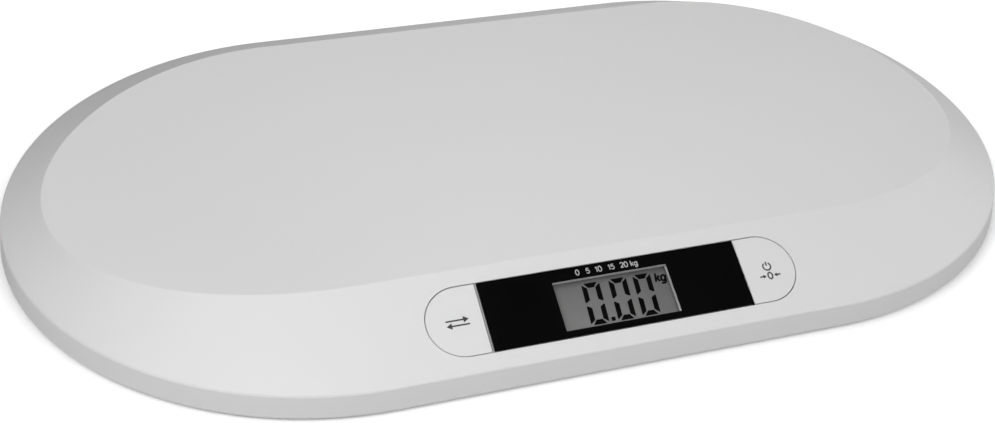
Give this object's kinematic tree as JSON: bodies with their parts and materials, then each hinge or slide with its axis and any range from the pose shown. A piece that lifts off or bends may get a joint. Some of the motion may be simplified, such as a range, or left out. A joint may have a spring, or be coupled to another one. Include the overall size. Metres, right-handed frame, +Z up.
{
  "type": "animal weighing scale",
  "caption": "Low digital weighing scale for small animals: racetrack housing with a trough-shaped tray, sloped band, front display and push buttons.",
  "frame": {"origin": "on the table, below the middle of the tray", "axes": "+X along the length to the user's right, +Y away from the user, +Z up"},
  "size_m": [0.55, 0.323, 0.0366],
  "materials": {
    "housing_white": "satin moulded ABS",
    "base_white": "fine textured ABS",
    "clear_acrylic": "polished",
    "black_print": "gloss black print",
    "display_cell": "grey reflective display cell",
    "white_inner": "plain moulded",
    "contact_rubber": "layered silicone",
    "button_white": "satin moulded ABS",
    "black_plastic": "moulded",
    "circuit_board": "solder mask",
    "black_epoxy": "cast resin",
    "metal_can": "drawn can",
    "screw_steel": "zinc plated",
    "white_silicone": "soft coating",
    "battery_sleeve": "printed sleeve",
    "nickel": "nickel plated",
    "lead_red": "insulated wire",
    "lead_black": "insulated wire",
    "foot_rubber": "matt",
    "hub_grey": "plain moulded",
    "cell_steel": "stamped steel",
    "cable_grey": "three-core sleeve"
  },
  "bodies": {
    "housing": {"top_shell": "housing_white", "bottom_cover": "base_white", "display_lens": "clear_acrylic", "display_mask": "black_print", "lcd_glass": "display_cell", "lcd_frame": "white_inner", "zebra_strip": "contact_rubber", "unit_switch": "black_plastic", "power_switch": "black_plastic", "main_board": "circuit_board", "controller_blob": "black_epoxy", "crystal": "metal_can", "capacitors": "metal_can", "board_screws": "screw_steel", "cover_screws": "screw_steel", "clamp_screws": "screw_steel", "strain_gauges": "white_silicone", "battery_left": "battery_sleeve", "battery_middle": "battery_sleeve", "battery_right": "battery_sleeve", "battery_plates": "nickel", "battery_springs": "nickel", "battery_lead_red": "lead_red", "battery_lead_black": "lead_black", "foot_pad_front_left": "foot_rubber", "foot_hub_front_left": "hub_grey", "load_cell_front_left": "cell_steel", "cell_clamp_front_left": "white_inner", "cell_cable_front_left": "cable_grey", "foot_pad_front_right": "foot_rubber", "foot_hub_front_right": "hub_grey", "load_cell_front_right": "cell_steel", "cell_clamp_front_right": "white_inner", "cell_cable_front_right": "cable_grey", "foot_pad_back_left": "foot_rubber", "foot_hub_back_left": "hub_grey", "load_cell_back_left": "cell_steel", "cell_clamp_back_left": "white_inner", "cell_cable_back_left": "cable_grey", "foot_pad_back_right": "foot_rubber", "foot_hub_back_right": "hub_grey", "load_cell_back_right": "cell_steel", "cell_clamp_back_right": "white_inner", "cell_cable_back_right": "cable_grey"},
    "unit_button": {"unit_button": "button_white", "unit_plunger": "black_plastic"},
    "power_button": {"power_button": "button_white", "power_plunger": "black_plastic"},
    "battery_door": {"battery_door": "base_white"}
  },
  "joints": [
    {"name": "unit_press", "type": "slide", "parent": "housing", "child": "unit_button", "axis": [0, 0.4431, -0.8965], "range_m": [0, 0.0005], "stiffness_N_per_m": 3000},
    {"name": "power_press", "type": "slide", "parent": "housing", "child": "power_button", "axis": [0, 0.4431, -0.8965], "range_m": [0, 0.0005], "stiffness_N_per_m": 3000},
    {"name": "battery_door_hinge", "type": "hinge", "parent": "housing", "child": "battery_door", "pos_m": [0, 0.0665, 0.0044], "axis": [1, 0, 0], "range_deg": [0, 85]}
  ]
}
